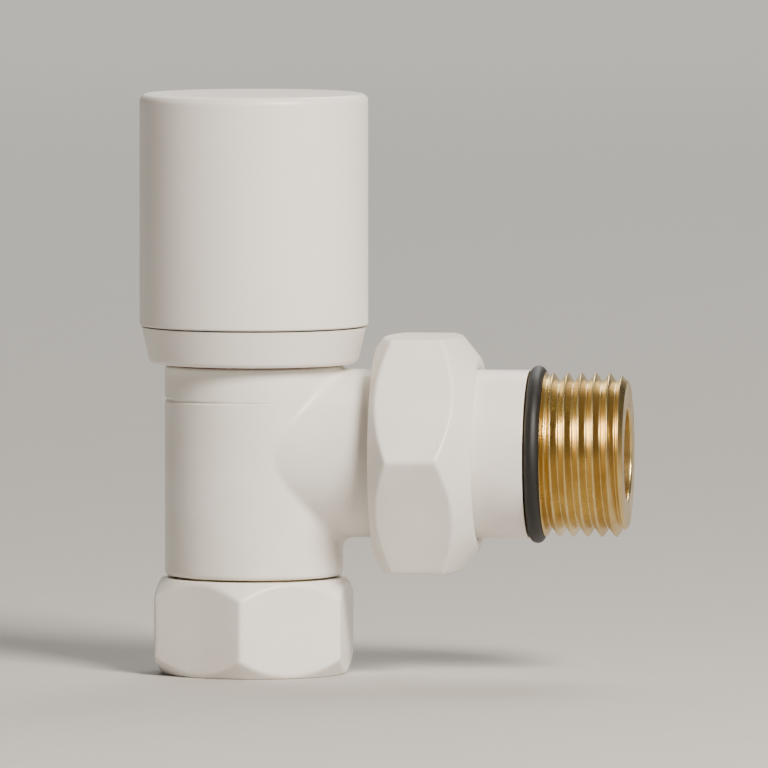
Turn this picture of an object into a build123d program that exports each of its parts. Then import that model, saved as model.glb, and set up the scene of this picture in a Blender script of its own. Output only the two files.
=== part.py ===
from build123d import *
import math
import os

# An angle-pattern lockshield radiator valve: 15 mm compression inlet below, G3/4 union and G1/2
# tail to the side. Millimetres, +Z up along the spindle, +X along the outlet, origin at the
# centre of the pipe nut's mouth.

# ---- Driving dimensions ----------------------------------------------------------------------

branch_z = 28.2  # height of the outlet's axis
top_z = 39.5  # top face of the valve body

# Threads: outside radius, pitch, depth of the V, and the radial clearance of each male thread
g12_r = 10.48
g34_r = 13.22
gas_pitch = 1.814
gas_depth = 0.95
bonnet_thread_r = 10.0
bonnet_pitch = 1.0
bonnet_depth = 0.5
spindle_thread_r = 4.03
spindle_pitch = 1.25
spindle_depth = 0.65
thread_gap = 0.08

# Gap between pieces that touch in the real valve but are drawn just clear of each other
snug = 0.02

# Pipe nut, olive and pipe socket
pipe_hole_r = 7.6
pipe_nut_flats = 24.0
pipe_nut_height = 12.3
pipe_nut_vertex_deg = -91.0
pipe_stop_z = 16.0
olive_low_z = 2.7
olive_high_z = 8.4
olive_r = 8.85
olive_end_r = 7.9

# Both nuts
hexagon_soft_r = 0.5

# Valve body
spigot_end_z = 6.6
barrel_low_z = 12.55
barrel_r = 11.4
barrel_line_z = 35.1
barrel_line_start_deg = 54.0
barrel_line_width = 0.6
barrel_line_depth = 0.35
waterway_r = 6.2
seat_z = 22.6
seat_lip_r = 7.2
seat_foot_r = 7.5
chamber_r = 9.2
chamber_floor_z = 21.2
boss_r = 10.75
boss_end_x = 16.6
boss_blend_r = 1.5
union_face_x = 23.4

# Bonnet (headwork)
sealing_washer_height = 0.6
sealing_washer_r = 10.8
bonnet_flange_r = 11.2
bonnet_flange_height = 1.3
bonnet_hex_flats = 19.0
bonnet_hex_height = 5.0
bonnet_low_z = 33.0
bonnet_neck_r = 7.0
bonnet_top_z = 55.5
clip_groove_z = 51.2

# Spindle and valve plug
stem_r = 4.25
spindle_low_z = 33.0
spindle_top_z = 66.0
key_square = 6.0
key_low_z = 57.5
thrust_collar_r = 5.2
guide_flats = 10.4
open_turns_at_rest = 1.5
rest_lift = open_turns_at_rest * spindle_pitch
rubber_r = 7.3
rubber_height = 3.0
plug_r = 8.2

# Cap
cap_r = 14.6
cap_top_z = 74.1
cap_low_z = 44.5
cap_wall = 1.55
cap_roof = 2.0
cap_ring_low_z = 39.7
cap_ring_high_z = 44.3
cap_ring_low_r = 13.3
cap_ring_high_r = 14.35
cap_ring_bore_r = 11.5
finger_count = 6

# Union nut, split ring and tail
union_nut_flats = 30.0
union_nut_low_x = 16.0
union_nut_high_x = 29.0
tail_flange_r = 12.6
tail_flange_end_x = 25.15
tail_r = 10.75
tail_shoulder_x = 35.5
tail_end_x = 48.0
tail_bore_r = 5.9
tail_key_flats = 12.0
tail_key_end_x = 35.0
split_ring_end_x = 26.55

os.makedirs("parts", exist_ok=True)

branch_axis = Axis((0, 0, branch_z), (1, 0, 0))


def thread_points(outside_r, start, end, pitch, depth):
    """Points (along, radius) of V-shaped thread ridges that fill a stretch of a turned spigot"""
    root_r = outside_r - depth
    flat = pitch / 8
    ridges = int((end - start) / pitch)
    first = end - ridges * pitch
    points = [(start, root_r), (first, root_r)]
    for ridge in range(ridges):
        low = first + ridge * pitch
        middle = low + pitch / 2
        points.append((middle - flat / 2, outside_r))
        points.append((middle + flat / 2, outside_r))
        points.append((low + pitch, root_r))
    return points


def hexagon_plan(flats, turn):
    """A hexagon with softened corners, one of them at the angle turn"""
    with BuildSketch() as plan:
        RegularPolygon(flats / 2, 6, major_radius=False, rotation=turn)
        fillet(plan.vertices(), hexagon_soft_r)
    return plan.sketch


def upright_plane(turn, origin_x):
    """The upright plane through (origin_x, 0) whose x direction is turned from +X by the angle turn"""
    across = Vector(math.cos(math.radians(turn)), math.sin(math.radians(turn)), 0)
    return Plane(origin=(origin_x, 0, 0), x_dir=across, z_dir=across.cross(Vector(0, 0, 1)))


def o_ring(plane, ring_r, cord_r):
    """A rubber ring of round section, lying in the plane about its origin"""
    with BuildPart(plane) as ring:
        Torus(ring_r, cord_r)
    return ring.part


# ---- Pipe nut: hexagon nut that squeezes the olive on the pipe --------------------------------

nut_corner_r = pipe_nut_flats / math.sqrt(3)
nut_crown_r = pipe_nut_flats / 2 - 0.3
nut_crown_height = 2.4
nut_seat_z = 2.2
nut_seat_r = olive_r + 0.15
nut_thread_z = 4.6

with BuildPart() as pipe_nut:
    add(extrude(hexagon_plan(pipe_nut_flats, pipe_nut_vertex_deg), pipe_nut_height))
    with BuildSketch(Plane.XZ):
        with BuildLine():
            Polyline(
                (0, 0),
                (nut_crown_r, 0),
                (nut_corner_r, nut_crown_height),
                (nut_corner_r, pipe_nut_height - nut_crown_height),
                (nut_crown_r, pipe_nut_height),
                (0, pipe_nut_height),
                close=True,
            )
        make_face()
    revolve(axis=Axis.Z, mode=Mode.INTERSECT)
    with BuildSketch(Plane.XZ):
        with BuildLine():
            Polyline(
                (0, 0),
                (pipe_hole_r, 0),
                (pipe_hole_r, nut_seat_z),
                (nut_seat_r, nut_seat_z + nut_seat_r - pipe_hole_r),
                (g12_r, nut_thread_z),
                (g12_r, pipe_nut_height),
                (0, pipe_nut_height),
                close=True,
            )
        make_face()
    revolve(axis=Axis.Z, mode=Mode.SUBTRACT)

pipe_nut.part.label = "pipe_nut"
export_step(pipe_nut.part, "parts/pipe_nut.step")

# ---- Olive: soft brass ring that is wedged between nut, pipe and body -------------------------

olive_taper = 1.5

with BuildPart() as olive:
    with BuildSketch(Plane.XZ):
        with BuildLine():
            Polyline(
                (pipe_hole_r, olive_low_z),
                (olive_end_r, olive_low_z),
                (olive_r, olive_low_z + olive_taper),
                (olive_r, olive_high_z - olive_taper),
                (olive_end_r, olive_high_z),
                (pipe_hole_r, olive_high_z),
                close=True,
            )
        make_face()
    revolve(axis=Axis.Z)

olive.part.label = "olive"
export_step(olive.part, "parts/olive.step")

# ---- Valve body: forged angle body with both spigots, the seat and the chamber ----------------

inlet_male_r = g12_r - thread_gap
union_male_r = g34_r - thread_gap
mouth_r = 9.2
mouth_z = 9.0
bonnet_thread_low_z = 34.6
edge_soft_r = 0.6

thread_inset = 0.4

# The barrel line's depth is barrel_line_depth opposite the boss and falls to nothing at its ends
line_end_cos = math.cos(math.radians(barrel_line_start_deg))
barrel_line_axis_x = barrel_line_depth / (1 + line_end_cos)
barrel_line_r = barrel_r - barrel_line_axis_x * line_end_cos

inlet_thread = thread_points(
    inlet_male_r, spigot_end_z + thread_inset, barrel_low_z - thread_inset, gas_pitch, gas_depth
)
union_thread = thread_points(
    union_male_r, boss_end_x + thread_inset, union_face_x - thread_inset, gas_pitch, gas_depth
)

with BuildPart() as valve_body:
    # Barrel with the threaded inlet spigot below it
    with BuildSketch(Plane.XZ):
        with BuildLine():
            Polyline(
                (0, spigot_end_z),
                (inlet_male_r - gas_depth, spigot_end_z),
                *[(radius, along) for along, radius in inlet_thread],
                (inlet_male_r - gas_depth, barrel_low_z),
                (barrel_r, barrel_low_z),
                (barrel_r, top_z),
                (0, top_z),
                close=True,
            )
        make_face()
    revolve(axis=Axis.Z)
    rims = valve_body.edges().filter_by(GeomType.CIRCLE).group_by(SortBy.RADIUS)[-1]
    fillet([rims.sort_by(Axis.Z)[0], rims.sort_by(Axis.Z)[-1]], edge_soft_r)
    # Outlet boss with the threaded union spigot at its end
    with BuildSketch(Plane.XZ):
        with BuildLine():
            Polyline(
                (0, branch_z),
                (0, branch_z + boss_r),
                (boss_end_x, branch_z + boss_r),
                (boss_end_x, branch_z + union_male_r - gas_depth),
                *[(along, branch_z + radius) for along, radius in union_thread],
                (union_face_x, branch_z + union_male_r - gas_depth),
                (union_face_x, branch_z),
                close=True,
            )
        make_face()
    revolve(axis=branch_axis)
    # The forging's soft blend where the boss leaves the barrel
    blends = valve_body.edges(Select.NEW).filter_by(GeomType.CIRCLE, reverse=True)
    fillet(blends.filter_by(lambda edge: edge.center().X < barrel_r), boss_blend_r)
    # Turned line round the barrel. It is deepest opposite the boss and runs out before the boss,
    # because its own axis lies a little towards the boss
    with BuildSketch(upright_plane(barrel_line_start_deg, barrel_line_axis_x)):
        with BuildLine():
            Polyline(
                (barrel_line_r, barrel_line_z),
                (barrel_line_r + barrel_line_width, barrel_line_z - barrel_line_width),
                (barrel_line_r + barrel_line_width, barrel_line_z + barrel_line_width),
                close=True,
            )
        make_face()
    revolve(
        axis=Axis((barrel_line_axis_x, 0, 0), (0, 0, 1)),
        revolution_arc=360 - 2 * barrel_line_start_deg,
        mode=Mode.SUBTRACT,
    )
    # Inlet socket, pipe stop, orifice and the seat's raised lip
    with BuildSketch(Plane.XZ):
        with BuildLine():
            Polyline(
                (0, spigot_end_z),
                (mouth_r, spigot_end_z),
                (pipe_hole_r, mouth_z),
                (pipe_hole_r, pipe_stop_z),
                (waterway_r, pipe_stop_z),
                (waterway_r, seat_z),
                (seat_lip_r, seat_z),
                (seat_foot_r, chamber_floor_z),
                (chamber_r, chamber_floor_z),
                (chamber_r, bonnet_thread_low_z),
                (bonnet_thread_r, bonnet_thread_low_z),
                (bonnet_thread_r, top_z),
                (0, top_z),
                close=True,
            )
        make_face()
    revolve(axis=Axis.Z, mode=Mode.SUBTRACT)
    # Outlet waterway
    with BuildSketch(Plane.YZ):
        with Locations((0, branch_z)):
            Circle(waterway_r)
    extrude(amount=union_face_x, mode=Mode.SUBTRACT)

valve_body.part.label = "valve_body"
export_step(valve_body.part, "parts/valve_body.step")

# ---- Sealing washer: flat ring between the bonnet's flange and the body -----------------------

flange_z = top_z + sealing_washer_height

with BuildPart() as bonnet_washer:
    with BuildSketch(Plane.XY.offset(top_z)):
        Circle(sealing_washer_r)
        Circle(bonnet_thread_r, mode=Mode.SUBTRACT)
    extrude(amount=sealing_washer_height)

bonnet_washer.part.label = "bonnet_washer"
export_step(bonnet_washer.part, "parts/bonnet_washer.step")

# ---- Bonnet: turned brass headwork that carries the spindle and guides the plug ---------------

hex_low_z = flange_z + bonnet_flange_height
hex_high_z = hex_low_z + bonnet_hex_height
guide_gap = 0.1
overcut = 0.1
guide_high_z = 44.6
thrust_bore_r = thrust_collar_r + 0.15
thrust_face_z = 47.7
stem_bore_r = stem_r + 0.05
clip_groove_half = 0.9
clip_groove_r = bonnet_neck_r - 0.5
clip_groove_slope = 0.3
skirt_r = chamber_r - 0.3
bonnet_thread_start_z = bonnet_thread_low_z + 0.3
neck_chamfer = 0.8
bonnet_male_r = bonnet_thread_r - thread_gap
bonnet_thread = thread_points(
    bonnet_male_r, bonnet_thread_start_z, top_z, bonnet_pitch, bonnet_depth
)
bonnet_corner_r = bonnet_hex_flats / math.sqrt(3)
bonnet_crown_r = bonnet_hex_flats / 2 - 0.2
bonnet_crown_height = 0.8

with BuildPart() as bonnet_hexagon:
    with BuildSketch(Plane.XY.offset(hex_low_z)):
        RegularPolygon(bonnet_hex_flats / 2, 6, major_radius=False)
    extrude(amount=bonnet_hex_height)
    with BuildSketch(Plane.XZ):
        with BuildLine():
            Polyline(
                (0, hex_low_z),
                (bonnet_corner_r, hex_low_z),
                (bonnet_corner_r, hex_high_z - bonnet_crown_height),
                (bonnet_crown_r, hex_high_z),
                (0, hex_high_z),
                close=True,
            )
        make_face()
    revolve(axis=Axis.Z, mode=Mode.INTERSECT)

with BuildPart() as bonnet:
    with BuildSketch(Plane.XZ):
        with BuildLine():
            Polyline(
                (0, bonnet_low_z),
                (skirt_r, bonnet_low_z),
                (skirt_r, bonnet_thread_start_z),
                *[(radius, along) for along, radius in bonnet_thread],
                (bonnet_male_r - bonnet_depth, flange_z),
                (bonnet_flange_r, flange_z),
                (bonnet_flange_r, hex_low_z),
                (bonnet_neck_r, hex_low_z),
                (bonnet_neck_r, clip_groove_z - clip_groove_half),
                (clip_groove_r, clip_groove_z - clip_groove_half + clip_groove_slope),
                (clip_groove_r, clip_groove_z + clip_groove_half - clip_groove_slope),
                (bonnet_neck_r, clip_groove_z + clip_groove_half),
                (bonnet_neck_r, bonnet_top_z - neck_chamfer),
                (bonnet_neck_r - neck_chamfer, bonnet_top_z),
                (0, bonnet_top_z),
                close=True,
            )
        make_face()
    revolve(axis=Axis.Z)
    add(bonnet_hexagon.part)
    with BuildSketch(Plane.XY.offset(bonnet_low_z)):
        RegularPolygon(guide_flats / 2 + guide_gap, 6, major_radius=False)
    extrude(amount=guide_high_z - bonnet_low_z, mode=Mode.SUBTRACT)
    with BuildSketch(Plane.XZ):
        with BuildLine():
            Polyline(
                (0, guide_high_z - overcut),
                (thrust_bore_r, guide_high_z - overcut),
                (thrust_bore_r, thrust_face_z),
                (stem_bore_r, thrust_face_z),
                (stem_bore_r, bonnet_top_z),
                (0, bonnet_top_z),
                close=True,
            )
        make_face()
    revolve(axis=Axis.Z, mode=Mode.SUBTRACT)

bonnet.part.label = "bonnet"
export_step(bonnet.part, "parts/bonnet.step")

# ---- Spindle: non-rising stem with a square for the key and a left-hand thread below ----------

collar_low_z = 45.0
collar_high_z = 47.0
seal_heights = (50.1, 53.1)
seal_cord_r = 0.57
seal_groove_r = 3.12
seal_groove_width = 1.5
circlip_z = bonnet_top_z + 0.25
circlip_height = 0.6
circlip_groove_r = 3.55
circlip_groove_width = 0.7
spindle_male_r = spindle_thread_r - thread_gap
spindle_root_r = spindle_male_r - spindle_depth
spindle_undercut = 1.0
stem_chamfer = 0.4
key_chamfer = 0.5

spindle_thread = thread_points(
    spindle_male_r,
    spindle_low_z + thread_inset,
    collar_low_z - spindle_undercut,
    spindle_pitch,
    spindle_depth,
)

with BuildPart() as spindle:
    with BuildSketch(Plane.XZ):
        with BuildLine():
            Polyline(
                (0, spindle_low_z),
                (spindle_root_r, spindle_low_z),
                *[(radius, along) for along, radius in spindle_thread],
                (spindle_root_r, collar_low_z),
                (thrust_collar_r, collar_low_z),
                (thrust_collar_r, collar_high_z),
                (stem_r, collar_high_z),
                (stem_r, key_low_z - stem_chamfer),
                (stem_r - stem_chamfer, key_low_z),
                (0, key_low_z),
                close=True,
            )
        make_face()
    revolve(axis=Axis.Z)
    # Grooves for the two seals and the circlip
    with BuildSketch(Plane.XZ):
        with Locations(*[(seal_groove_r + stem_r / 2, height) for height in seal_heights]):
            Rectangle(stem_r, seal_groove_width)
        with Locations((circlip_groove_r + stem_r / 2, circlip_z + circlip_height / 2)):
            Rectangle(stem_r, circlip_groove_width)
    revolve(axis=Axis.Z, mode=Mode.SUBTRACT)
    # Square for the balancing key
    with BuildSketch(Plane.XY.offset(key_low_z - stem_chamfer)):
        Rectangle(key_square, key_square)
    extrude(amount=spindle_top_z - key_low_z + stem_chamfer)
    chamfer(spindle.faces().sort_by(Axis.Z)[-1].edges(), key_chamfer)

spindle.part.label = "spindle"
export_step(spindle.part, "parts/spindle.step")

# ---- Spindle seals: two O-rings in the stem's grooves -----------------------------------------

seal_ring_r = seal_groove_r + seal_cord_r + snug

spindle_o_rings = Compound(
    label="spindle_o_rings",
    children=[o_ring(Plane.XY.offset(height), seal_ring_r, seal_cord_r) for height in seal_heights],
)
export_step(spindle_o_rings, "parts/spindle_o_rings.step")

# ---- Thrust washer: slippery ring between the stem's collar and the bonnet --------------------

with BuildPart() as thrust_washer:
    with BuildSketch(Plane.XY.offset(collar_high_z + snug)):
        Circle(thrust_collar_r)
        Circle(stem_r + snug, mode=Mode.SUBTRACT)
    extrude(amount=thrust_face_z - collar_high_z - 2 * snug)

thrust_washer.part.label = "thrust_washer"
export_step(thrust_washer.part, "parts/thrust_washer.step")

# ---- Circlip: split spring ring that keeps the spindle in the bonnet --------------------------

circlip_r = 5.7
circlip_gap = 3.0

with BuildPart() as spindle_circlip:
    with BuildSketch(Plane.XY.offset(circlip_z)):
        Circle(circlip_r)
        Circle(circlip_groove_r + snug, mode=Mode.SUBTRACT)
        with Locations((0, -circlip_r)):
            Rectangle(circlip_gap, 2 * circlip_r, mode=Mode.SUBTRACT)
    extrude(amount=circlip_height)

spindle_circlip.part.label = "spindle_circlip"
export_step(spindle_circlip.part, "parts/spindle_circlip.step")

# ---- Plug carrier: hexagon slide with the left-hand nut thread and a cup for the washer --------

rubber_low_z = seat_z + snug + rest_lift
rubber_high_z = rubber_low_z + rubber_height
cup_rim_z = rubber_low_z + 1.2
cup_bore_r = rubber_r + snug
cup_chamfer = 0.3
flange_top_z = rubber_high_z + 2.0
flange_chamfer = 0.8
carrier_floor_z = rubber_high_z + 2.2
carrier_top_z = rubber_high_z + 13.4
screw_r = 1.25

with BuildPart() as plug_carrier:
    with BuildSketch(Plane.XZ):
        with BuildLine():
            Polyline(
                (0, cup_rim_z),
                (plug_r - cup_chamfer, cup_rim_z),
                (plug_r, cup_rim_z + cup_chamfer),
                (plug_r, flange_top_z - flange_chamfer),
                (plug_r - flange_chamfer, flange_top_z),
                (0, flange_top_z),
                close=True,
            )
        make_face()
    revolve(axis=Axis.Z)
    with BuildSketch(Plane.XY.offset(flange_top_z)):
        RegularPolygon(guide_flats / 2, 6, major_radius=False)
    extrude(amount=carrier_top_z - flange_top_z)
    with BuildSketch(Plane.XZ):
        with BuildLine():
            Polyline(
                (0, cup_rim_z),
                (cup_bore_r, cup_rim_z),
                (cup_bore_r, rubber_high_z),
                (screw_r, rubber_high_z),
                (screw_r, carrier_floor_z),
                (spindle_thread_r, carrier_floor_z),
                (spindle_thread_r, carrier_top_z),
                (0, carrier_top_z),
                close=True,
            )
        make_face()
    revolve(axis=Axis.Z, mode=Mode.SUBTRACT)

plug_carrier.part.label = "plug_carrier"
export_step(plug_carrier.part, "parts/plug_carrier.step")

# ---- Valve washer: rubber disc that closes on the seat ----------------------------------------

rubber_soft_r = 0.3

with BuildPart() as valve_washer:
    with BuildSketch(Plane.XY.offset(rubber_low_z)):
        Circle(rubber_r)
        Circle(screw_r, mode=Mode.SUBTRACT)
    extrude(amount=rubber_height)
    rims = valve_washer.edges().filter_by(GeomType.CIRCLE).group_by(SortBy.RADIUS)[-1]
    fillet(rims.sort_by(Axis.Z)[0], rubber_soft_r)

valve_washer.part.label = "valve_washer"
export_step(valve_washer.part, "parts/valve_washer.step")

# ---- Washer screw: slotted cheese-head screw that holds the washer in its cup ------------------

screw_head_r = 3.0
screw_head_height = 1.5
screw_slot_width = 0.8
screw_length = 4.9

with BuildPart() as washer_screw:
    with BuildSketch(Plane.XY.offset(rubber_low_z)):
        Circle(screw_head_r)
    extrude(amount=-screw_head_height)
    with BuildSketch(Plane.XY.offset(rubber_low_z)):
        Circle(screw_r - snug)
    extrude(amount=screw_length)
    with BuildSketch(Plane.XY.offset(rubber_low_z - screw_head_height)):
        Rectangle(2 * screw_head_r + screw_slot_width, screw_slot_width)
    extrude(amount=screw_head_height / 2, mode=Mode.SUBTRACT)

washer_screw.part.label = "washer_screw"
export_step(washer_screw.part, "parts/washer_screw.step")

# ---- Cap ring: moulded ring with spring fingers that snaps on the bonnet's neck ----------------

cap_bore_r = cap_r - cap_wall
sleeve_r = cap_bore_r - 0.1
sleeve_chamfer = 0.4
sleeve_top_z = 52.0
bead_z = 51.0
bead_height = 0.8
bead_r = cap_bore_r + 0.2
web_low_z = hex_high_z + 0.2
web_high_z = web_low_z + 1.4
finger_bore_r = bonnet_neck_r + 0.35
finger_bead_r = bonnet_neck_r + 0.1
finger_bead_height = 0.8
finger_bead_slope = 0.4
finger_r = 8.8
finger_top_z = 54.2
wire_r = 0.45
wire_groove_r = 8.35
slot_width = 1.6
slot_reach = 10.4
cap_ring_soft_r = 0.7

with BuildPart() as cap_ring:
    with BuildSketch(Plane.XZ):
        with BuildLine():
            Polyline(
                (cap_ring_bore_r, cap_ring_low_z),
                (cap_ring_low_r, cap_ring_low_z),
                (cap_ring_high_r, cap_ring_high_z),
                (sleeve_r, cap_ring_high_z),
                (sleeve_r, bead_z - bead_height / 2),
                (bead_r, bead_z - bead_height / 4),
                (bead_r, bead_z + bead_height / 4),
                (sleeve_r, bead_z + bead_height / 2),
                (sleeve_r, sleeve_top_z - sleeve_chamfer),
                (sleeve_r - sleeve_chamfer, sleeve_top_z),
                (cap_ring_bore_r, sleeve_top_z),
                (cap_ring_bore_r, web_high_z),
                (finger_r, web_high_z),
                (finger_r, clip_groove_z - wire_r),
                (wire_groove_r, clip_groove_z - wire_r),
                (wire_groove_r, clip_groove_z + wire_r),
                (finger_r, clip_groove_z + wire_r),
                (finger_r, finger_top_z),
                (finger_bore_r, finger_top_z),
                (finger_bore_r, clip_groove_z + finger_bead_height / 2 + finger_bead_slope),
                (finger_bead_r, clip_groove_z + finger_bead_height / 2),
                (finger_bead_r, clip_groove_z - finger_bead_height / 2),
                (finger_bore_r, clip_groove_z - finger_bead_height / 2 - finger_bead_slope),
                (finger_bore_r, web_low_z),
                (cap_ring_bore_r, web_low_z),
                close=True,
            )
        make_face()
    revolve(axis=Axis.Z)
    visible_rims = cap_ring.edges().filter_by(GeomType.CIRCLE).group_by(Axis.Z)[0]
    fillet(visible_rims.sort_by(SortBy.RADIUS)[-1], cap_ring_soft_r)
    # Slots between the spring fingers
    with BuildSketch(Plane.XY.offset(web_low_z)):
        with PolarLocations(slot_reach / 2, finger_count):
            Rectangle(slot_reach, slot_width)
    extrude(amount=finger_top_z - web_low_z, mode=Mode.SUBTRACT)

cap_ring.part.label = "cap_ring"
export_step(cap_ring.part, "parts/cap_ring.step")

# ---- Cap clip: split wire ring that squeezes the fingers on the neck ---------------------------

wire_ring_r = wire_groove_r + wire_r
wire_gap_deg = 28

with BuildPart() as cap_clip:
    with BuildSketch(Plane.XZ):
        with Locations((wire_ring_r, clip_groove_z)):
            Circle(wire_r - snug)
    revolve(axis=Axis.Z, revolution_arc=360 - wire_gap_deg)

cap_clip.part.label = "cap_clip"
export_step(cap_clip.part, "parts/cap_clip.step")

# ---- Cap shell: the plain round cover over the spindle -----------------------------------------

top_soft_r = 1.0
mouth_soft_r = 0.25
snap_groove_r = bead_r + 0.15

with BuildPart() as cap_shell:
    with BuildSketch(Plane.XY.offset(cap_low_z)):
        Circle(cap_r)
    extrude(amount=cap_top_z - cap_low_z)
    with BuildSketch(Plane.XZ):
        with BuildLine():
            Polyline(
                (0, cap_low_z),
                (cap_bore_r, cap_low_z),
                (cap_bore_r, bead_z - bead_height),
                (snap_groove_r, bead_z - bead_height / 2),
                (snap_groove_r, bead_z + bead_height / 2),
                (cap_bore_r, bead_z + bead_height),
                (cap_bore_r, cap_top_z - cap_roof),
                (0, cap_top_z - cap_roof),
                close=True,
            )
        make_face()
    revolve(axis=Axis.Z, mode=Mode.SUBTRACT)
    outer_rims = cap_shell.edges().filter_by(GeomType.CIRCLE).group_by(SortBy.RADIUS)[-1]
    fillet(outer_rims.sort_by(Axis.Z)[-1], top_soft_r)
    fillet(outer_rims.sort_by(Axis.Z)[0], mouth_soft_r)

cap_shell.part.label = "cap_shell"
export_step(cap_shell.part, "parts/cap_shell.step")

# ---- Union tail: threads into the radiator and is pulled to the body by the union nut ----------

face_seal_r = 9.4
face_seal_cord_r = 0.69
face_groove_depth = 1.4
face_groove_width = 1.9
thread_seal_cord_r = 0.95
thread_seal_groove_r = 9.4
thread_seal_end_x = tail_shoulder_x + 2.0
tail_chamfer = 1.0

with BuildPart() as union_tail:
    with BuildSketch(Plane.XZ):
        with BuildLine():
            Polyline(
                (union_face_x, branch_z),
                (union_face_x, branch_z + tail_flange_r),
                (tail_flange_end_x, branch_z + tail_flange_r),
                (tail_flange_end_x, branch_z + tail_r),
                (tail_shoulder_x, branch_z + tail_r),
                (tail_shoulder_x, branch_z + thread_seal_groove_r),
                (thread_seal_end_x, branch_z + thread_seal_groove_r),
                (thread_seal_end_x, branch_z + g12_r),
                (tail_end_x - tail_chamfer, branch_z + g12_r),
                (tail_end_x, branch_z + g12_r - tail_chamfer),
                (tail_end_x, branch_z),
                close=True,
            )
        make_face()
    revolve(axis=branch_axis)
    with BuildSketch(Plane.YZ.offset(union_face_x)):
        with Locations((0, branch_z)):
            RegularPolygon(tail_key_flats / 2, 6, major_radius=False)
    extrude(amount=tail_key_end_x - union_face_x, mode=Mode.SUBTRACT)
    with BuildSketch(Plane.YZ.offset(union_face_x)):
        with Locations((0, branch_z)):
            Circle(tail_bore_r)
    extrude(amount=tail_end_x - union_face_x, mode=Mode.SUBTRACT)
    with BuildSketch(Plane.YZ.offset(union_face_x)):
        with Locations((0, branch_z)):
            Circle(face_seal_r + face_groove_width / 2)
            Circle(face_seal_r - face_groove_width / 2, mode=Mode.SUBTRACT)
    extrude(amount=face_groove_depth, mode=Mode.SUBTRACT)

union_tail.part.label = "union_tail"
export_step(union_tail.part, "parts/union_tail.step")

# ---- Union seals: O-ring in the tail's face, and O-ring behind its thread ----------------------

face_seal_x = union_face_x + face_seal_cord_r + snug / 2
face_seal_plane = Plane((face_seal_x, 0, branch_z), z_dir=(1, 0, 0))
union_o_ring = o_ring(face_seal_plane, face_seal_r, face_seal_cord_r)
union_o_ring.label = "union_o_ring"
export_step(union_o_ring, "parts/union_o_ring.step")

thread_seal_x = (tail_shoulder_x + thread_seal_end_x) / 2
thread_seal_plane = Plane((thread_seal_x, 0, branch_z), z_dir=(1, 0, 0))
thread_seal_r = thread_seal_groove_r + thread_seal_cord_r + snug
tail_o_ring = o_ring(thread_seal_plane, thread_seal_r, thread_seal_cord_r)
tail_o_ring.label = "tail_o_ring"
export_step(tail_o_ring, "parts/tail_o_ring.step")

# ---- Split ring: carries the nut's pull to the tail's flange -----------------------------------

split_ring_gap = 2.5
split_ring_r = 12.9

with BuildPart() as union_split_ring:
    with BuildSketch(Plane.YZ.offset(tail_flange_end_x + 2 * snug)):
        with Locations((0, branch_z)):
            Circle(split_ring_r)
            Circle(tail_r + 3 * snug, mode=Mode.SUBTRACT)
        with Locations((0, branch_z - split_ring_r)):
            Rectangle(split_ring_gap, split_ring_r, mode=Mode.SUBTRACT)
    extrude(amount=split_ring_end_x - tail_flange_end_x - 2 * snug)

union_split_ring.part.label = "union_split_ring"
export_step(union_split_ring.part, "parts/union_split_ring.step")

# ---- Union nut: hexagon nut with its flats level, on the body's G3/4 spigot --------------------

union_corner_r = union_nut_flats / math.sqrt(3)
union_mouth_r = 13.9
union_mouth_length = 2.6
union_nose_r = 12.3
union_nose_length = 4.1
union_hole_r = tail_r + 0.2
union_chamfer = 0.4
union_shoulder_x = split_ring_end_x + 2 * snug

with BuildPart() as union_nut:
    with BuildSketch(Plane.YZ.offset(union_nut_low_x)):
        with Locations((0, branch_z)):
            add(hexagon_plan(union_nut_flats, 0))
    extrude(amount=union_nut_high_x - union_nut_low_x)
    with BuildSketch(Plane.XZ):
        with BuildLine():
            Polyline(
                (union_nut_low_x, branch_z),
                (union_nut_low_x, branch_z + union_mouth_r),
                (union_nut_low_x + union_mouth_length, branch_z + union_corner_r),
                (union_nut_high_x - union_nose_length, branch_z + union_corner_r),
                (union_nut_high_x, branch_z + union_nose_r),
                (union_nut_high_x, branch_z),
                close=True,
            )
        make_face()
    revolve(axis=branch_axis, mode=Mode.INTERSECT)
    with BuildSketch(Plane.XZ):
        with BuildLine():
            Polyline(
                (union_nut_low_x, branch_z),
                (union_nut_low_x, branch_z + g34_r + union_chamfer),
                (union_nut_low_x + union_chamfer, branch_z + g34_r),
                (union_shoulder_x, branch_z + g34_r),
                (union_shoulder_x, branch_z + union_hole_r),
                (union_nut_high_x - union_chamfer, branch_z + union_hole_r),
                (union_nut_high_x, branch_z + union_hole_r + union_chamfer),
                (union_nut_high_x, branch_z),
                close=True,
            )
        make_face()
    revolve(axis=branch_axis, mode=Mode.SUBTRACT)

union_nut.part.label = "union_nut"
export_step(union_nut.part, "parts/union_nut.step")
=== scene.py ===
import math

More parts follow.
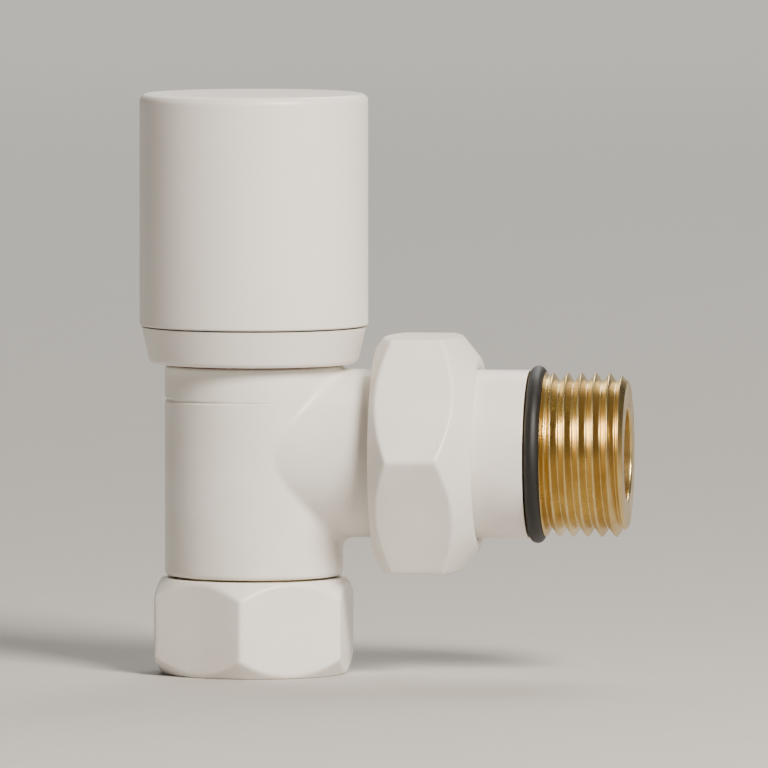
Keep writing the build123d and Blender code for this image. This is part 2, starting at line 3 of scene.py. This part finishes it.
import bpy
import numpy as np
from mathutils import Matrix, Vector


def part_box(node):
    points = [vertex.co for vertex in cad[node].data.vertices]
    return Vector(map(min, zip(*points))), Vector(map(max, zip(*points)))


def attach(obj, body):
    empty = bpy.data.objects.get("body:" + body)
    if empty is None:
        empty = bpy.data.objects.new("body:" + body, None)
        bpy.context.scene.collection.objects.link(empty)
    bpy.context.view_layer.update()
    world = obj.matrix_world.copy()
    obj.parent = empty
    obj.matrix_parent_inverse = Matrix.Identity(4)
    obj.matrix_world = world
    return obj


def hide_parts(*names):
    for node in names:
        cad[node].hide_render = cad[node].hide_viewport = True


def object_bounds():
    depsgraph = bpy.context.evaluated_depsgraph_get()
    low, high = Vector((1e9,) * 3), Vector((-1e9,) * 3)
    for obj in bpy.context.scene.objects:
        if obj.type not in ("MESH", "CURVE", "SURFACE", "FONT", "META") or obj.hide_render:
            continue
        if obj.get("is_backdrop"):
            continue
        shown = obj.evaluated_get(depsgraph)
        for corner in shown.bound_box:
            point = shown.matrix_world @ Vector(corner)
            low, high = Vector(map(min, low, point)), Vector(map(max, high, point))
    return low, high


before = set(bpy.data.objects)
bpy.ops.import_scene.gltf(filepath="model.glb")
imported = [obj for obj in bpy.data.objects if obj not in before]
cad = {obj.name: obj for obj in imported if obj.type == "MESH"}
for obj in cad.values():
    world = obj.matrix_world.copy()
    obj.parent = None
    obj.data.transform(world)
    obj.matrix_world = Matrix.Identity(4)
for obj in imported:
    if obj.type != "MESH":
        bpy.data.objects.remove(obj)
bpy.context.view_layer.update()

# ---- Valve body --------------------------------------------------------------------------------
# The angle body is hot-forged in brass and powder coated white outside. Its threads, seat and
# bores are masked or cut after the coating, so they stay bare turned brass.

MM = 0.001
branch_z = (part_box("union_nut")[0].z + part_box("union_nut")[1].z) / 2
pipe_nut_top_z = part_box("pipe_nut")[1].z
union_nut_low_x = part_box("union_nut")[0].x
coat_under_nut = 0.6 * MM
chamber_r = 10.05 * MM
waterway_r = 6.25 * MM


def linear(hex_colour):
    """An sRGB hex colour as linear red, green, blue and alpha, by the sRGB curve."""
    parts = np.array([int(hex_colour[i : i + 2], 16) for i in (1, 3, 5)]) / 255
    curve = np.where(parts <= 0.04045, parts / 12.92, ((parts + 0.055) / 1.055) ** 2.4)
    return (*curve.tolist(), 1.0)


def add(tree, kind, inputs=None, **settings):
    """Adds a node with its settings. An input is a value, a socket, or a node, whose first output
    is then linked."""
    made = tree.nodes.new(kind)
    for name, value in settings.items():
        setattr(made, name, value)
    for name, value in (inputs or {}).items():
        if isinstance(value, bpy.types.Node):
            value = value.outputs[0]
        if isinstance(value, bpy.types.NodeSocket):
            tree.links.new(value, made.inputs[name])
        else:
            made.inputs[name].default_value = value
    return made


def material_of(name, make_shader, *details):
    """A material whose surface is the shader node that make_shader(tree, *details) returns."""
    material = bpy.data.materials.new(name)
    material.use_nodes = True
    tree = material.node_tree
    tree.nodes.clear()
    add(tree, "ShaderNodeOutputMaterial", {"Surface": make_shader(tree, *details)})
    return material


def powder_coat(tree):
    """Satin polyester powder coat: baked powder flows into shallow waves and fine grain.

    To the eye it is an even warm white whose soft highlight breaks up a little."""
    place = add(tree, "ShaderNodeTexCoord").outputs["Object"]
    # Orange peel is about 1.8 mm from wave to wave, and the grain 0.3 mm
    waves = add(tree, "ShaderNodeTexNoise", {"Vector": place, "Scale": 1 / (1.8 * MM), "Detail": 1.0})
    grain = add(tree, "ShaderNodeTexNoise", {"Vector": place, "Scale": 1 / (0.3 * MM), "Detail": 2.0})
    # The coat's thickness drifts over about 12 mm, and its white with it
    cloud = add(tree, "ShaderNodeTexNoise", {"Vector": place, "Scale": 1 / (12 * MM), "Detail": 3.0})
    tone = add(tree, "ShaderNodeMapRange", {"Value": cloud, "From Min": 0.35, "From Max": 0.65})
    colour = add(
        tree,
        "ShaderNodeMix",
        {0: tone, 6: linear("#ebe7e0"), 7: linear("#f4f1eb")},
        data_type="RGBA",
    )
    gloss = add(
        tree,
        "ShaderNodeMapRange",
        {"Value": grain, "From Min": 0.3, "From Max": 0.7, "To Min": 0.30, "To Max": 0.40},
    )
    peel = add(tree, "ShaderNodeBump", {"Height": waves, "Strength": 0.6, "Distance": 0.06 * MM})
    skin = add(
        tree, "ShaderNodeBump", {"Height": grain, "Normal": peel, "Strength": 0.4, "Distance": 0.012 * MM}
    )
    return add(
        tree,
        "ShaderNodeBsdfPrincipled",
        {"Base Color": colour.outputs[2], "Roughness": gloss, "Normal": skin, "IOR": 1.5},
    )


def turned_brass(tree, axis):
    """Brass turned about the upright axis ('Z') or the branch's ('X'), left bright.

    To the eye it is pale yellow with fine rings round the axis and a little tarnish."""
    place = add(tree, "ShaderNodeTexCoord").outputs["Object"]
    centre, across = ((0, 0, 0), (1, 1, 0)) if axis == "Z" else ((0, 0, -branch_z), (0, 1, 1))
    moved = add(tree, "ShaderNodeVectorMath", {0: place, 1: centre}, operation="ADD")
    radial = add(tree, "ShaderNodeVectorMath", {0: moved, 1: across}, operation="MULTIPLY")
    out = add(tree, "ShaderNodeVectorMath", {0: radial}, operation="LENGTH").outputs["Value"]
    along = add(tree, "ShaderNodeSeparateXYZ", {"Vector": place}).outputs[axis]
    # The tool's feed leaves rings about 0.1 mm apart, drawn 0.3 mm apart so that they show. Along
    # and out are summed, so the rings also go round the end faces
    feed = add(tree, "ShaderNodeMath", {0: along, 1: out}, operation="ADD")
    rings = add(
        tree,
        "ShaderNodeTexNoise",
        {"W": feed, "Scale": 1 / (0.3 * MM), "Detail": 2.0},
        noise_dimensions="1D",
    )
    stain = add(tree, "ShaderNodeTexNoise", {"Vector": place, "Scale": 1 / (5 * MM), "Detail": 3.0})
    tone = add(tree, "ShaderNodeMapRange", {"Value": stain, "From Min": 0.3, "From Max": 0.65})
    colour = add(
        tree,
        "ShaderNodeMix",
        {0: tone, 6: linear("#bda063"), 7: linear("#dcc58b")},
        data_type="RGBA",
    )
    gloss = add(
        tree,
        "ShaderNodeMapRange",
        {"Value": stain, "From Min": 0.3, "From Max": 0.7, "To Min": 0.38, "To Max": 0.24},
    )
    cut = add(tree, "ShaderNodeBump", {"Height": rings, "Strength": 0.5, "Distance": 0.012 * MM})
    return add(
        tree,
        "ShaderNodeBsdfPrincipled",
        {"Base Color": colour.outputs[2], "Metallic": 1.0, "Roughness": gloss, "Normal": cut},
    )


def coated_body(tree):
    """Powder coat, with turned brass where a point is below the coated barrel, beyond the coated
    boss, nearer the upright axis than the chamber's wall, or inside the branch's waterway."""
    place = add(tree, "ShaderNodeTexCoord").outputs["Object"]
    at = add(tree, "ShaderNodeSeparateXYZ", {"Vector": place}).outputs
    upright = add(tree, "ShaderNodeVectorMath", {0: place, 1: (1, 1, 0)}, operation="MULTIPLY")
    from_upright = add(tree, "ShaderNodeVectorMath", {0: upright}, operation="LENGTH").outputs["Value"]
    moved = add(tree, "ShaderNodeVectorMath", {0: place, 1: (0, 0, -branch_z)}, operation="ADD")
    branch = add(tree, "ShaderNodeVectorMath", {0: moved, 1: (0, 1, 1)}, operation="MULTIPLY")
    from_branch = add(tree, "ShaderNodeVectorMath", {0: branch}, operation="LENGTH").outputs["Value"]
    below = add(tree, "ShaderNodeMath", {0: at["Z"], 1: pipe_nut_top_z}, operation="LESS_THAN")
    coat_end_x = union_nut_low_x + coat_under_nut
    beyond = add(tree, "ShaderNodeMath", {0: at["X"], 1: coat_end_x}, operation="GREATER_THAN")
    chamber = add(tree, "ShaderNodeMath", {0: from_upright, 1: chamber_r}, operation="LESS_THAN")
    bore = add(tree, "ShaderNodeMath", {0: from_branch, 1: waterway_r}, operation="LESS_THAN")
    ahead = add(tree, "ShaderNodeMath", {0: at["X"], 1: 0.0}, operation="GREATER_THAN")
    waterway = add(tree, "ShaderNodeMath", {0: bore, 1: ahead}, operation="MULTIPLY")
    ends = add(tree, "ShaderNodeMath", {0: below, 1: beyond}, operation="MAXIMUM")
    inside = add(tree, "ShaderNodeMath", {0: chamber, 1: waterway}, operation="MAXIMUM")
    bare = add(tree, "ShaderNodeMath", {0: ends, 1: inside}, operation="MAXIMUM")
    return add(tree, "ShaderNodeMixShader", {0: bare, 1: powder_coat(tree), 2: turned_brass(tree, "Z")})


def give(node_name, material):
    """Every face of a CAD node takes the material."""
    slots = cad[node_name].data.materials
    slots.clear()
    slots.append(material)


give("valve_body", material_of("white_powder_coat_on_forged_brass", coated_body))

# ---- Pipe nut ----------------------------------------------------------------------------------
# The compression nut is cut from 24 mm hexagon brass bar and crowned at both ends. It is powder
# coated outside, which rounds its edges. Its thread and the face on the olive stay bare.

pipe_nut_flats = 24 * MM
pipe_nut_corner_r = 13.95 * MM
crown_r = 11.7 * MM
crown_height = 2.4 * MM
vertex_turn = math.radians(-91)
pipe_hole_r = 7.6 * MM
inlet_thread_r = 10.48 * MM
inlet_thread_low_z = 4.6 * MM
cone_wide_r = 9.0 * MM
cone_wide_z = 3.6 * MM
cone_low_z = 2.2 * MM
bare_margin = 0.12 * MM
nut_columns = 360


def rounded_outline(corners, spacing):
    """Points round a closed outline of (along, out, rounding) corners.

    A corner is a circular arc between its two tangent points, as a rational Bezier curve with the
    weight cos(half the turn). A straight side is divided evenly, with a point close to each end,
    so that smooth shading leaves it flat. The spacing is one length, or one for each side."""
    corners = np.array(corners, float)
    spacing = np.broadcast_to(spacing, len(corners))
    here, rounding = corners[:, :2], corners[:, 2]
    to_next = np.roll(here, -1, axis=0) - here
    forward = to_next / np.linalg.norm(to_next, axis=1)[:, None]
    back = -np.roll(forward, 1, axis=0)
    half_turn = (np.pi - np.arccos(np.clip((forward * back).sum(1), -1, 1))) / 2
    cut = rounding * np.tan(half_turn)
    rows = []
    for i, corner in enumerate(here):
        start, end = corner + back[i] * cut[i], corner + forward[i] * cut[i]
        t = np.linspace(0, 1, 7 if cut[i] > 0 else 1)[:, None]
        pull = 2 * math.cos(half_turn[i]) * t * (1 - t)
        rows.append(((1 - t) ** 2 * start + pull * corner + t**2 * end) / ((1 - t) ** 2 + pull + t**2))
        following = (i + 1) % len(here)
        side = np.linalg.norm(here[following] + back[following] * cut[following] - end)
        near = min(0.03 * MM, side / 4)
        steps = np.linspace(near, side - near, max(2, math.ceil(side / spacing[i])))[:, None]
        rows.append(end + forward[i] * steps)
    return np.vstack(rows)


def hexagon_r(turn, flats, sharpness=120):
    """A hexagon's radius at each turn: half its flats over the p-norm of the cosines to its six
    sides, which softens the corners."""
    sides = np.arange(6)[:, None] * np.pi / 3
    facing = np.maximum(np.cos(turn[None, :] - sides), 0)
    return flats / 2 / (facing**sharpness).sum(0) ** (1 / sharpness)


def soft_least(a, b, sharpness=110):
    """The smaller of two lengths, rounded off where they are equal: the p-norm of their inverses,
    inverted."""
    return (a**-sharpness + b**-sharpness) ** (-1 / sharpness)


def turned_piece(name, axis, along, out, turn, bare, material):
    """A closed ring-shaped piece on a grid of outline points (rows) by turns (columns).

    A point is along the axis, then out from it in the direction (cos turn, sin turn). The
    attribute bare is 1 on rows of uncoated metal."""
    rows, columns = out.shape
    along = np.broadcast_to(along, out.shape)
    first, second = out * np.cos(turn), out * np.sin(turn)
    parts = (first, second, along) if axis == "Z" else (along, first, second + branch_z)
    points = np.stack(parts, -1).reshape(-1, 3)
    row, column = np.meshgrid(np.arange(rows), np.arange(columns), indexing="ij")
    below, beside = (row + 1) % rows * columns, (column + 1) % columns
    row = row * columns
    quads = np.stack((row + column, row + beside, below + beside, below + column), -1).reshape(-1, 4)
    corner = points[quads]
    faced = np.cross(corner[:, 2] - corner[:, 0], corner[:, 3] - corner[:, 1])
    if (corner.mean(1) * faced).sum() < 0:
        quads = quads[:, ::-1]
    mesh = bpy.data.meshes.new(name)
    mesh.from_pydata(points, [], quads)
    marks = np.repeat(np.asarray(bare, np.float32), columns)
    mesh.attributes.new("bare", "FLOAT", "POINT").data.foreach_set("value", marks)
    mesh.polygons.foreach_set("use_smooth", np.ones(len(quads), bool))
    mesh.materials.append(material)
    piece = bpy.data.objects.new(name, mesh)
    bpy.context.scene.collection.objects.link(piece)
    return piece


def coated_turning(tree, axis):
    """Powder coat, with turned brass where the attribute bare is over a half."""
    marks = add(tree, "ShaderNodeAttribute", attribute_name="bare", attribute_type="GEOMETRY")
    bare = add(tree, "ShaderNodeMath", {0: marks.outputs["Fac"], 1: 0.5}, operation="GREATER_THAN")
    return add(tree, "ShaderNodeMixShader", {0: bare, 1: powder_coat(tree), 2: turned_brass(tree, axis)})


row_spacing = 0.3 * MM
outline = rounded_outline(
    [
        (0, pipe_hole_r, 0.15 * MM),
        (0, crown_r, 0.5 * MM),
        (crown_height, pipe_nut_corner_r, 0),
        (pipe_nut_top_z - crown_height, pipe_nut_corner_r, 0),
        (pipe_nut_top_z, crown_r, 0.5 * MM),
        (pipe_nut_top_z, inlet_thread_r, 0.25 * MM),
        (inlet_thread_low_z, inlet_thread_r, 0.1 * MM),
        (cone_wide_z, cone_wide_r, 0),
        (cone_low_z, pipe_hole_r, 0.1 * MM),
    ],
    row_spacing,
)
turn = np.linspace(0, 2 * np.pi, nut_columns, endpoint=False)
sides_r = hexagon_r(turn - vertex_turn - math.pi / 6, pipe_nut_flats)
pipe_nut = turned_piece(
    "pipe_nut_coated",
    "Z",
    outline[:, :1],
    soft_least(outline[:, 1:], sides_r),
    turn,
    (outline[:, 1] < inlet_thread_r + bare_margin) & (outline[:, 0] > 0.1 * MM),
    material_of("white_powder_coat_on_pipe_nut", coated_turning, "Z"),
)
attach(pipe_nut, "pipe_nut")
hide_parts("pipe_nut")

# ---- Union nut ---------------------------------------------------------------------------------
# A 30 mm brass nut pulls the tail onto the body. Its mouth has a steep crown, and its nose a long
# taper down to the tail. It is powder coated outside like the pipe nut.

union_nut_end_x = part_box("union_nut")[1].x
union_nut_flats = 30 * MM
union_nut_corner_r = 17.4 * MM
mouth_r = 13.9 * MM
mouth_length = 2.6 * MM
nose_r = 12.3 * MM
nose_length = 4.1 * MM
shoulder_x = 26.6 * MM
thread_bore_r = 13.22 * MM
nose_bore_r = 10.95 * MM
bore_chamfer = 0.4 * MM
outline = rounded_outline(
    [
        (union_nut_low_x, thread_bore_r + bore_chamfer, 0.05 * MM),
        (union_nut_low_x, mouth_r, 0.12 * MM),
        (union_nut_low_x + mouth_length, union_nut_corner_r, 0),
        (union_nut_end_x - nose_length, union_nut_corner_r, 0),
        (union_nut_end_x, nose_r, 0.35 * MM),
        (union_nut_end_x, nose_bore_r + bore_chamfer, 0.15 * MM),
        (union_nut_end_x - bore_chamfer, nose_bore_r, 0.1 * MM),
        (shoulder_x, nose_bore_r, 0.1 * MM),
        (shoulder_x, thread_bore_r, 0.1 * MM),
        (union_nut_low_x + bore_chamfer, thread_bore_r, 0.1 * MM),
    ],
    row_spacing,
)
in_thread = (outline[:, 1] < thread_bore_r + 0.1 * MM) & (outline[:, 0] < shoulder_x + 0.1 * MM)
union_nut = turned_piece(
    "union_nut_coated",
    "X",
    outline[:, :1],
    soft_least(outline[:, 1:], hexagon_r(turn - math.pi / 2, union_nut_flats)),
    turn,
    in_thread | (outline[:, 1] < nose_bore_r + 0.05 * MM),
    material_of("white_powder_coat_on_union_nut", coated_turning, "X"),
)
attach(union_nut, "union_nut")
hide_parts("union_nut")

# ---- Union tail --------------------------------------------------------------------------------
# The tail is turned from brass bar: a flange that the nut pulls on, a shank that is coated, and a
# bare G1/2 thread for the radiator. A 12 mm hexagon is broached inside for its key.

tail_low_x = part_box("union_tail")[0].x
tail_end_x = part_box("union_tail")[1].x
flange_r = 12.6 * MM
flange_end_x = 25.15 * MM
shank_r = 10.75 * MM
shank_end_x = 35.5 * MM
seal_seat_r = 9.4 * MM
thread_start_x = 37.5 * MM
thread_r = 10.48 * MM
thread_pitch = 1.814 * MM
thread_depth = 1.16 * MM
end_chamfer = 1.2 * MM
end_r = 9.3 * MM
tail_bore_r = 5.9 * MM
broach_flats = 12 * MM
broach_end_x = 35 * MM
broach_r = 7.0 * MM
face_groove_x = 24.8 * MM
face_groove_inner_r = 8.45 * MM
face_groove_outer_r = 10.35 * MM
tail_columns = 192
tail_corners = [
    (tail_low_x, flange_r, 0.15 * MM),
    (flange_end_x, flange_r, 0.15 * MM),
    (flange_end_x, shank_r, 0.1 * MM),
    (shank_end_x, shank_r, 0.3 * MM),
    (shank_end_x, seal_seat_r, 0.1 * MM),
    (thread_start_x, seal_seat_r, 0.1 * MM),
    (thread_start_x, thread_r, 0),
    (tail_end_x - end_chamfer, thread_r, 0),
    (tail_end_x, end_r, 0.15 * MM),
    (tail_end_x, tail_bore_r, 0.3 * MM),
    (broach_end_x, tail_bore_r, 0),
    (broach_end_x, broach_r, 0),
    (tail_low_x, broach_r, 0),
    (tail_low_x, face_groove_inner_r, 0.05 * MM),
    (face_groove_x, face_groove_inner_r, 0.1 * MM),
    (face_groove_x, face_groove_outer_r, 0.1 * MM),
    (tail_low_x, face_groove_outer_r, 0.05 * MM),
]
# The thread and its end chamfer need 18 rows to a pitch
tail_spacing = np.full(len(tail_corners), row_spacing)
tail_spacing[6:8] = thread_pitch / 18
outline = rounded_outline(tail_corners, tail_spacing)
turn = np.linspace(0, 2 * np.pi, tail_columns, endpoint=False)
x = outline[:, :1]
r = outline[:, 1:] * np.ones((1, tail_columns))
# A right-hand thread: the radius drops by the depth in rounded Vs, one for each pitch along, and
# the Vs move on by one pitch in a turn
phase = 2 * np.pi * (x - thread_start_x) / thread_pitch - turn
groove = 0.5 - np.arcsin(0.97 * np.sin(phase)) / (2 * math.asin(0.97))
fade_in = np.clip((x - thread_start_x) / (0.5 * MM), 0, 1)
threaded = (x >= thread_start_x) & (r > end_r - 0.01 * MM)
r = np.where(threaded, np.minimum(r, thread_r - thread_depth * groove * fade_in), r)
in_broach = (np.abs(r - broach_r) < 1e-6 * MM) & (x <= broach_end_x)
r = np.where(in_broach, hexagon_r(turn, broach_flats, 60), r)
off_shank = (x >= shank_end_x - 0.1 * MM) | (x < flange_end_x - 0.05 * MM)
bare = off_shank | (outline[:, 1:] < shank_r - 0.15 * MM)
union_tail = turned_piece(
    "union_tail_threaded",
    "X",
    x,
    r,
    turn,
    bare[:, 0],
    material_of("white_powder_coat_on_turned_tail", coated_turning, "X"),
)
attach(union_tail, "valve")
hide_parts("union_tail")

# ---- Bonnet, spindle, plug carrier, olive and split ring ---------------------------------------
# All of these are turned from brass bar and left bare. The split ring is on the branch's axis, so
# its tool marks go round that.

bare_brass = material_of("turned_brass_upright", turned_brass, "Z")
for node_name in ("bonnet", "spindle", "plug_carrier", "olive"):
    give(node_name, bare_brass)
give("union_split_ring", material_of("turned_brass_along", turned_brass, "X"))

# ---- O-rings and valve washer ------------------------------------------------------------------
# The seals are compression moulded in black EPDM rubber. The rings are pushed into their grooves,
# and the washer is held in the plug carrier's cup by its screw.


def moulded_rubber(tree):
    """Black EPDM rubber, as it leaves the mould.

    To the eye it is matt black, a little grey where its bloom has come to the surface."""
    place = add(tree, "ShaderNodeTexCoord").outputs["Object"]
    bloom = add(tree, "ShaderNodeTexNoise", {"Vector": place, "Scale": 1 / (2.5 * MM), "Detail": 4.0})
    grain = add(tree, "ShaderNodeTexNoise", {"Vector": place, "Scale": 1 / (0.25 * MM), "Detail": 2.0})
    colour = add(
        tree,
        "ShaderNodeMix",
        {0: bloom, 6: linear("#080808"), 7: linear("#1b1b1a")},
        data_type="RGBA",
    )
    dull = add(tree, "ShaderNodeMapRange", {"Value": bloom, "To Min": 0.4, "To Max": 0.7})
    skin = add(tree, "ShaderNodeBump", {"Height": grain, "Strength": 0.4, "Distance": 0.02 * MM})
    return add(
        tree,
        "ShaderNodeBsdfPrincipled",
        {"Base Color": colour.outputs[2], "Roughness": dull, "Normal": skin, "IOR": 1.52},
    )


rubber = material_of("black_moulded_epdm", moulded_rubber)
for node_name in ("spindle_o_rings", "tail_o_ring", "union_o_ring", "valve_washer"):
    give(node_name, rubber)

# ---- Bonnet washer and thrust washer -----------------------------------------------------------
# The bonnet seals on a ring stamped from red vulcanised fibre. The spindle's collar turns on a
# thin ring skived from PTFE.


def stamped_sheet(tree, dark, light, fleck_size, roughness):
    """Washer cut from pressed or skived sheet.

    To the eye it is two close tones in flecks of the given size, matt in fibre and waxy in PTFE."""
    place = add(tree, "ShaderNodeTexCoord").outputs["Object"]
    fleck = add(tree, "ShaderNodeTexNoise", {"Vector": place, "Scale": 1 / fleck_size, "Detail": 4.0})
    colour = add(
        tree, "ShaderNodeMix", {0: fleck, 6: linear(dark), 7: linear(light)}, data_type="RGBA"
    )
    nap = add(tree, "ShaderNodeBump", {"Height": fleck, "Strength": 0.3, "Distance": 0.02 * MM})
    return add(
        tree,
        "ShaderNodeBsdfPrincipled",
        {"Base Color": colour.outputs[2], "Roughness": roughness, "Normal": nap, "IOR": 1.45},
    )


fibre = material_of("red_vulcanised_fibre", stamped_sheet, "#5f2319", "#964433", 0.4 * MM, 0.7)
give("bonnet_washer", fibre)
give("thrust_washer", material_of("white_skived_ptfe", stamped_sheet, "#e0e0dc", "#f3f3ef", 0.8 * MM, 0.4))

# ---- Circlip, cap clip and washer screw --------------------------------------------------------
# The circlip is stamped from spring steel and the cap's clip bent from spring wire. The screw in
# the valve washer is stainless.


def bright_steel(tree, dark, light, roughness):
    """Bright drawn or stamped steel.

    To the eye it is grey metal with small soft highlights, broken by marks about 0.35 mm across."""
    place = add(tree, "ShaderNodeTexCoord").outputs["Object"]
    marks = add(tree, "ShaderNodeTexNoise", {"Vector": place, "Scale": 1 / (0.35 * MM), "Detail": 5.0})
    colour = add(
        tree, "ShaderNodeMix", {0: marks, 6: linear(dark), 7: linear(light)}, data_type="RGBA"
    )
    scratched = add(tree, "ShaderNodeBump", {"Height": marks, "Strength": 0.2, "Distance": 0.01 * MM})
    return add(
        tree,
        "ShaderNodeBsdfPrincipled",
        {"Base Color": colour.outputs[2], "Metallic": 1.0, "Roughness": roughness, "Normal": scratched},
    )


spring_steel = material_of("bright_spring_steel", bright_steel, "#6f7378", "#b4b7bb", 0.28)
give("spindle_circlip", spring_steel)
give("cap_clip", spring_steel)
give("washer_screw", material_of("stainless_steel_screw", bright_steel, "#949391", "#c9c8c4", 0.3))

# ---- Cap ---------------------------------------------------------------------------------------
# The cap and the ring under it are injection moulded in white ABS, in tools whose spark-eroded
# faces leave a fine satin. The cap snaps over a bead on the ring.


def moulded_abs(tree, dark, light):
    """White ABS, injection moulded.

    To the eye it is an even satin white. Its pits are about 0.05 mm across, and are drawn 0.2 mm
    across so that they show."""
    place = add(tree, "ShaderNodeTexCoord").outputs["Object"]
    flow = add(tree, "ShaderNodeTexNoise", {"Vector": place, "Scale": 1 / (16 * MM), "Detail": 2.0})
    pits = add(tree, "ShaderNodeTexNoise", {"Vector": place, "Scale": 1 / (0.2 * MM), "Detail": 2.0})
    colour = add(
        tree, "ShaderNodeMix", {0: flow, 6: linear(dark), 7: linear(light)}, data_type="RGBA"
    )
    satin = add(tree, "ShaderNodeMapRange", {"Value": pits, "To Min": 0.30, "To Max": 0.44})
    skin = add(tree, "ShaderNodeBump", {"Height": pits, "Strength": 0.35, "Distance": 0.015 * MM})
    return add(
        tree,
        "ShaderNodeBsdfPrincipled",
        {"Base Color": colour.outputs[2], "Roughness": satin, "Normal": skin, "IOR": 1.53},
    )


give("cap_shell", material_of("satin_white_moulded_abs", moulded_abs, "#ece8e1", "#f4f1eb"))
give("cap_ring", material_of("satin_white_moulded_abs_ring", moulded_abs, "#eae6df", "#f2efe9"))

# ---- Studio ------------------------------------------------------------------------------------
# A round pale paper floor that curves up at its rim, nearly three metres out. Square soft lamps
# stand round it, two of them over the backdrop, and the camera has a long lens.

inner_r = 0.3
middle_r = 1.0
floor_r = 1.9
bend_r = 0.9
turn = np.linspace(0, 2 * np.pi, 96, endpoint=False)
bend = np.linspace(0, np.pi / 2, 25)
floor_out = np.concatenate(([inner_r, middle_r], floor_r + bend_r * np.sin(bend)))[:, None]
floor_z = np.concatenate(([0, 0], bend_r - bend_r * np.cos(bend)))[:, None]
points = np.stack((floor_out * np.cos(turn), floor_out * np.sin(turn), floor_z + 0 * turn), -1)
row, column = np.meshgrid(np.arange(len(floor_out) - 1) * len(turn), np.arange(len(turn)), indexing="ij")
beside = (column + 1) % len(turn)
above = row + len(turn)
quads = np.stack((row + column, above + column, above + beside, row + beside), -1).reshape(-1, 4)
floor_mesh = bpy.data.meshes.new("studio_floor")
# One flat face closes the middle, where the valve stands
floor_mesh.from_pydata(points.reshape(-1, 3), [], quads.tolist() + [list(range(len(turn)))])
floor_mesh.polygons.foreach_set("use_smooth", np.ones(len(quads) + 1, bool))
studio_floor = bpy.data.objects.new("studio_floor", floor_mesh)
bpy.context.scene.collection.objects.link(studio_floor)


def matt_paper(tree):
    """Pale background paper. To the eye it is matt, with a faint mottle about 8 mm across."""
    place = add(tree, "ShaderNodeTexCoord").outputs["Object"]
    mottle = add(tree, "ShaderNodeTexNoise", {"Vector": place, "Scale": 1 / (8 * MM), "Detail": 3.0})
    colour = add(
        tree, "ShaderNodeMix", {0: mottle, 6: linear("#b9b7b3"), 7: linear("#bdbbb7")}, data_type="RGBA"
    )
    return add(tree, "ShaderNodeBsdfPrincipled", {"Base Color": colour.outputs[2], "Roughness": 0.9})


floor_mesh.materials.append(material_of("pale_matt_paper", matt_paper))
studio_floor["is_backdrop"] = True

low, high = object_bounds()
centre = (low + high) / 2


def towards(azimuth, elevation):
    """The unit vector from the valve to a place at an azimuth round from the front and an
    elevation, in degrees."""
    a, e = math.radians(azimuth), math.radians(elevation)
    return type(centre)((math.sin(a) * math.cos(e), -math.cos(a) * math.cos(e), math.sin(e)))


def soft_lamp(name, place, aim, size, watts, colour, spread=180):
    """A square area lamp at a place, turned to face the point that it is aimed at, whose light
    leaves within a cone of the given spread in degrees."""
    data = bpy.data.lights.new(name, "AREA")
    data.size, data.energy, data.color = size, watts, linear(colour)[:3]
    data.spread = math.radians(spread)
    lamp = bpy.data.objects.new(name, data)
    lamp.location = place
    lamp.rotation_euler = (place - aim).to_track_quat("Z", "Y").to_euler()
    bpy.context.scene.collection.objects.link(lamp)


backdrop_distance = 2.2
lamp_height = 1.5
behind = centre + towards(186, 0) * backdrop_distance
beside = centre + towards(270, 0) * backdrop_distance
up = towards(0, 90)
soft_lamp("key_lamp", centre + towards(38, 36) * 0.9, centre, 0.3, 17.0, "#fff4e8")
soft_lamp("back_lamp", centre + towards(165, 45) * 1.2, centre, 0.5, 4.0, "#fffaf2")
soft_lamp("overhead_lamp", centre + up * 2.6, centre, 3.0, 6.0, "#fffdf8")
soft_lamp("backdrop_lamp", behind + up * lamp_height, behind, 2.0, 40.0, "#fffdf8")
soft_lamp("side_lamp", beside + up * lamp_height, beside, 2.0, 12.0, "#fffdf8", 75)

world = bpy.data.worlds.new("soft_room")
bpy.context.scene.world = world
world.use_nodes = True
room = world.node_tree.nodes["Background"].inputs
room["Color"].default_value = linear("#dbd9d5")
room["Strength"].default_value = 0.05

camera_distance = 2.0
camera_side = towards(6, 3.5)
view_width = 98 * MM
camera_data = bpy.data.cameras.new("camera")
camera_data.lens = camera_data.sensor_width * camera_distance / view_width
camera = bpy.data.objects.new("camera", camera_data)
camera.location = centre + camera_side * camera_distance
camera.rotation_euler = camera_side.to_track_quat("Z", "Y").to_euler()
bpy.context.scene.collection.objects.link(camera)
bpy.context.scene.camera = camera
